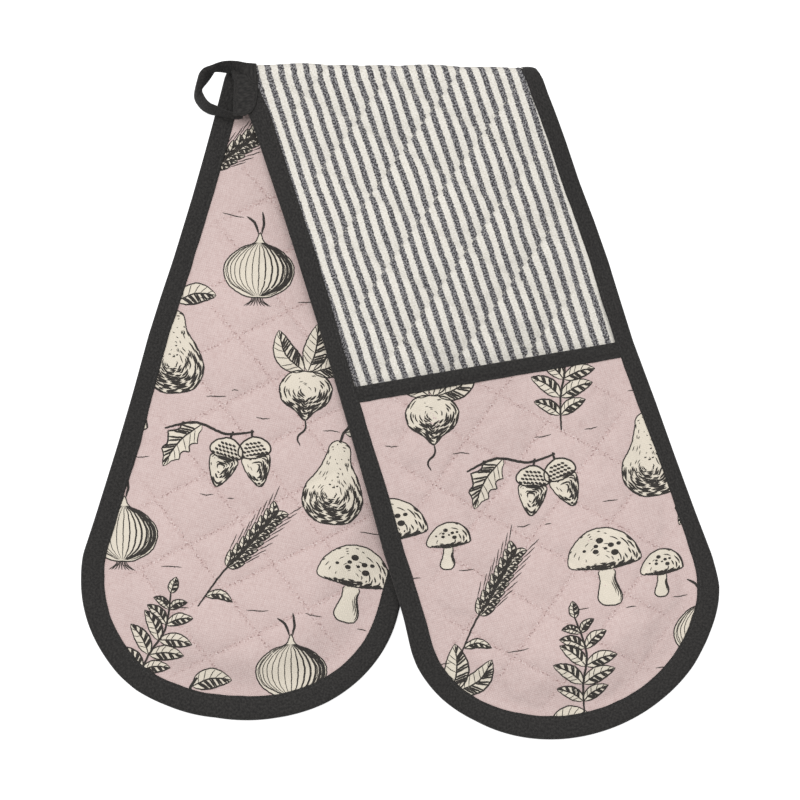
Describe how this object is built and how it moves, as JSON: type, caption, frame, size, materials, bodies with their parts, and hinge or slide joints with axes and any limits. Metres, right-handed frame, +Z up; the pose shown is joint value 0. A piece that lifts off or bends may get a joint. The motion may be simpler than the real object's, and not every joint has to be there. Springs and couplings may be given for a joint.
{
  "type": "oven glove",
  "caption": "Quilted double oven glove: one padded strip with a hand pocket at each round end, bound edges and a hanging loop, laid folded over at its middle.",
  "frame": {"origin": "bottom centre of the whole glove's box, on the table it lies on", "axes": "+Z up from the table, +Y from the round ends towards the fold, +X to the right seen from above with the fold at the far side"},
  "size_m": [0.381, 0.4084, 0.0343],
  "materials": {
    "printed_cotton": "matt plain-woven cotton, printed",
    "striped_cotton": "matt woven ticking, charcoal and cream stripes",
    "cotton_wadding": "soft undyed wadding",
    "binding_tape": "matt charcoal twill tape"
  },
  "bodies": {
    "back_leg": {"back_outer": "printed_cotton", "back_wadding": "cotton_wadding", "back_lining": "striped_cotton", "back_pocket_outer": "printed_cotton", "back_pocket_wadding": "cotton_wadding", "back_pocket_lining": "striped_cotton", "back_mouth_binding": "binding_tape", "back_edge_binding": "binding_tape", "fold_outer": "printed_cotton", "fold_wadding": "cotton_wadding", "fold_lining": "striped_cotton", "fold_binding_left": "binding_tape", "fold_binding_right": "binding_tape"},
    "front_leg": {"front_outer": "printed_cotton", "front_wadding": "cotton_wadding", "front_lining": "striped_cotton", "front_pocket_outer": "printed_cotton", "front_pocket_wadding": "cotton_wadding", "front_pocket_lining": "striped_cotton", "front_mouth_binding": "binding_tape", "front_edge_binding": "binding_tape", "loop_tab": "binding_tape"},
    "loop": {"hanging_loop": "binding_tape"}
  },
  "joints": [
    {"name": "fold", "type": "hinge", "parent": "back_leg", "child": "front_leg", "pos_m": [-0.00738, 0.19286, 0.0078], "axis": [-0.9999, 0.0113, 0], "range_deg": [0, 165], "deforming": ["fold_outer", "fold_wadding", "fold_lining", "fold_binding_left", "fold_binding_right"]},
    {"name": "loop_swing", "type": "hinge", "parent": "front_leg", "child": "loop", "pos_m": [-0.08747, 0.19347, 0.0165], "axis": [0.1676, 0.9859, 0], "range_deg": [0, 75]}
  ]
}
